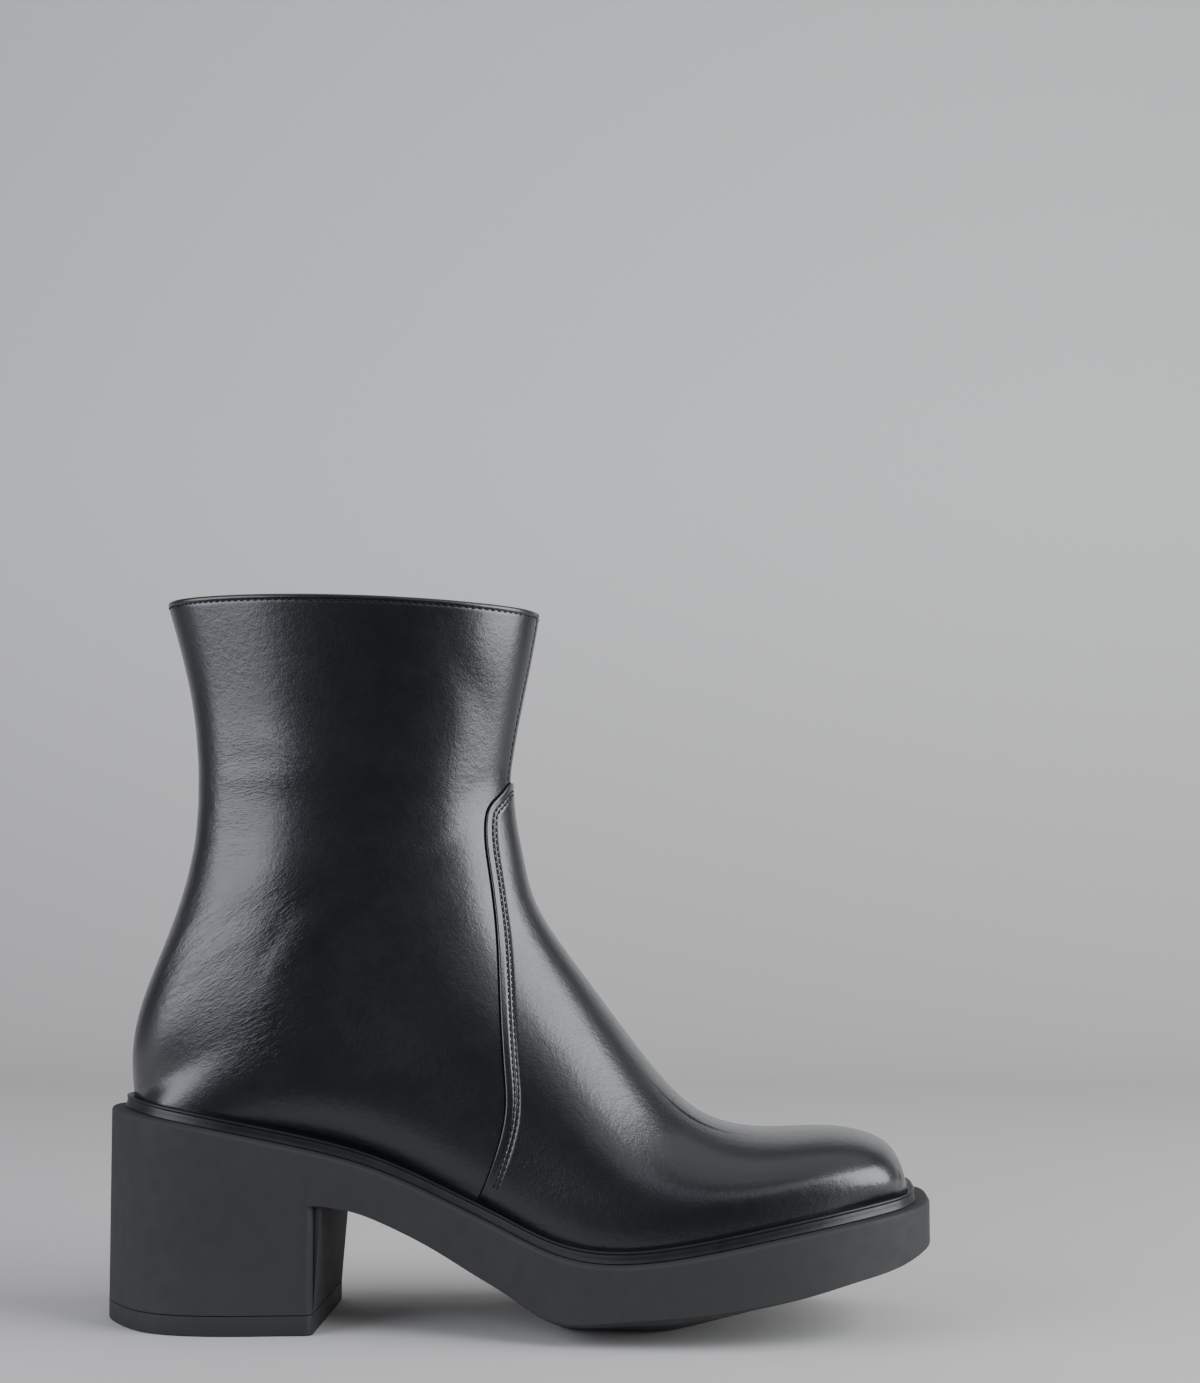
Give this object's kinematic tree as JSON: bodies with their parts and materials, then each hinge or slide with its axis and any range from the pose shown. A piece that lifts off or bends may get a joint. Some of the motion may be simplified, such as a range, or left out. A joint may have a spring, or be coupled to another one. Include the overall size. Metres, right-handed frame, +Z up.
{
  "type": "zip ankle boot",
  "caption": "Right ankle boot with an inner side zip, a smooth leather upper, a moulded rand and a thick rubber sole on a block heel.",
  "frame": {"origin": "on the floor under the middle of the boot's bounding box", "axes": "+X towards the toe, +Y towards the inner (medial) side with the zip, +Z up"},
  "size_m": [0.2566, 0.094, 0.2248],
  "materials": {
    "black_leather": "smooth polished box leather, fine grain, soft gloss",
    "lining_leather": "matte lining leather",
    "sole_rubber": "matte moulded rubber, dark grey",
    "top_piece_rubber": "matte hard rubber, dark grey",
    "rand_rubber": "semi-gloss rubber, near black",
    "zip_fabric": "woven black zip tape with moulded black teeth",
    "zip_metal": "satin nickel-plated zip slider and pull"
  },
  "bodies": {
    "boot": {"sole_unit": "sole_rubber", "heel_top_piece": "top_piece_rubber", "rand": "rand_rubber", "insole": "lining_leather", "upper": "black_leather", "zip_tape": "zip_fabric", "zip_slider": "zip_metal"},
    "pull": {"zip_pull": "zip_metal"}
  },
  "joints": [
    {"name": "pull_swing", "type": "hinge", "parent": "boot", "child": "pull", "pos_m": [-0.04825, 0.03606, 0.21], "axis": [1, 0, 0], "range_deg": [-3, 150]}
  ]
}
